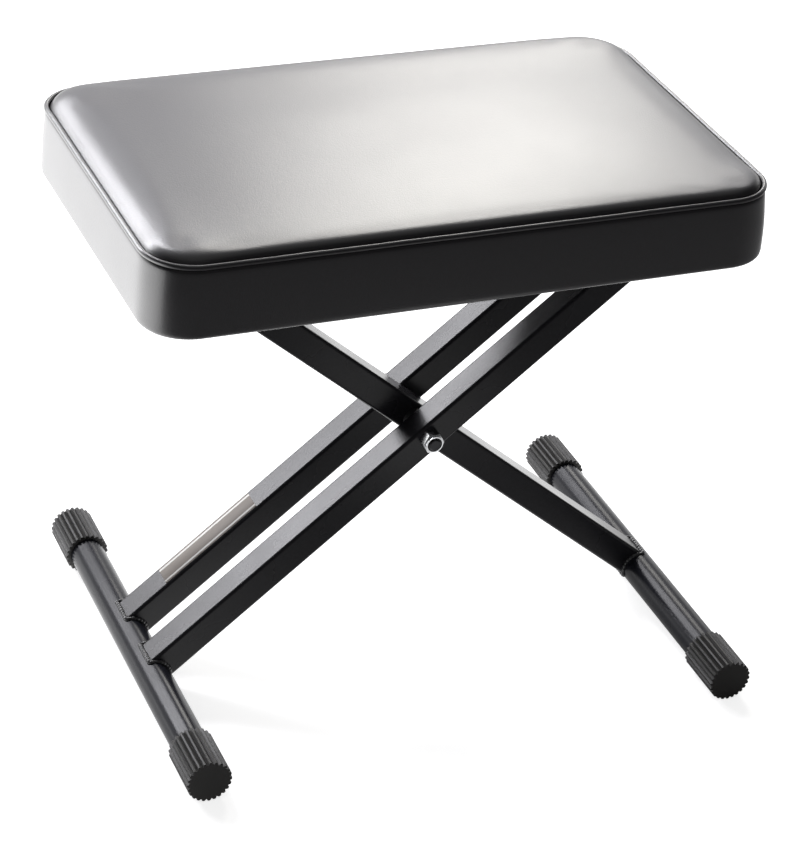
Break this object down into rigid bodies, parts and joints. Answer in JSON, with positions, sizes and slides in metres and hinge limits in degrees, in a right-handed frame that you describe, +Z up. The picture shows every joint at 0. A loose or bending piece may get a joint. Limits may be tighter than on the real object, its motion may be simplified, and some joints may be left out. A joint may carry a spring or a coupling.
{
  "type": "folding keyboard bench",
  "caption": "Folding keyboard bench: cushioned vinyl seat on a crossed frame of square steel tube with rubber-capped round feet, hinged at one end and held by notches at the other.",
  "frame": {"origin": "on the floor under the middle of the whole bench's box", "axes": "+X along the seat from the notched end to the hinged end, +Y from the front to the rear, +Z up"},
  "size_m": [0.5196, 0.369, 0.4595],
  "materials": {
    "frame_paint": "black powder coat, satin",
    "cap_rubber": "matt black rubber",
    "plug_plastic": "black nylon",
    "plated_steel": "bright zinc plate",
    "seat_vinyl": "black leather-grain vinyl, semi-gloss",
    "board_wood": "raw plywood",
    "foam": "cut polyurethane foam",
    "underside_cloth": "black non-woven cloth"
  },
  "bodies": {
    "outer_frame": {"outer_leg_front": "frame_paint", "outer_leg_rear": "frame_paint", "outer_leg_plug_front": "plug_plastic", "outer_leg_plug_rear": "plug_plastic", "left_foot_tube": "frame_paint", "left_foot_cap_front": "cap_rubber", "left_foot_cap_rear": "cap_rubber", "pivot_bolt": "plated_steel", "pivot_nut": "plated_steel", "pivot_nut_insert": "plug_plastic", "pivot_spacer_front": "plug_plastic", "pivot_spacer_rear": "plug_plastic"},
    "inner_frame": {"inner_leg": "frame_paint", "inner_leg_plug": "plug_plastic", "right_foot_tube": "frame_paint", "right_foot_cap_front": "cap_rubber", "right_foot_cap_rear": "cap_rubber", "cross_rod": "frame_paint", "pivot_sleeve": "plated_steel"},
    "seat_hinge": {"hinge_bolt": "plated_steel", "hinge_nut": "plated_steel", "hinge_nut_insert": "plug_plastic", "hinge_sleeve": "plated_steel", "hinge_washer_front": "plug_plastic", "hinge_washer_rear": "plug_plastic"},
    "seat": {"seat_board": "board_wood", "seat_foam": "foam", "seat_top_panel": "seat_vinyl", "seat_boxing": "seat_vinyl", "seat_piping": "seat_vinyl", "dust_cover": "underside_cloth", "hinge_bracket_front": "frame_paint", "hinge_bracket_rear": "frame_paint", "notch_bracket_front": "frame_paint", "notch_bracket_rear": "frame_paint", "bracket_screws": "plated_steel"}
  },
  "joints": [
    {"name": "leg_fold", "type": "hinge", "parent": "outer_frame", "child": "inner_frame", "pos_m": [0.01537, 0, 0.20605], "axis": [0, 1, 0], "range_deg": [0, 92]},
    {"name": "seat_follow", "type": "hinge", "parent": "outer_frame", "child": "seat_hinge", "pos_m": [0.21157, 0, 0.36893], "axis": [0, 1, 0], "range_deg": [0, 57.3]},
    {"name": "seat_lift", "type": "hinge", "parent": "seat_hinge", "child": "seat", "pos_m": [0.21157, 0, 0.36893], "axis": [0, 1, 0], "range_deg": [0, 95]}
  ],
  "couplings": [
    {"joint": "seat_follow", "follows": "leg_fold", "ratio": 0.62}
  ]
}
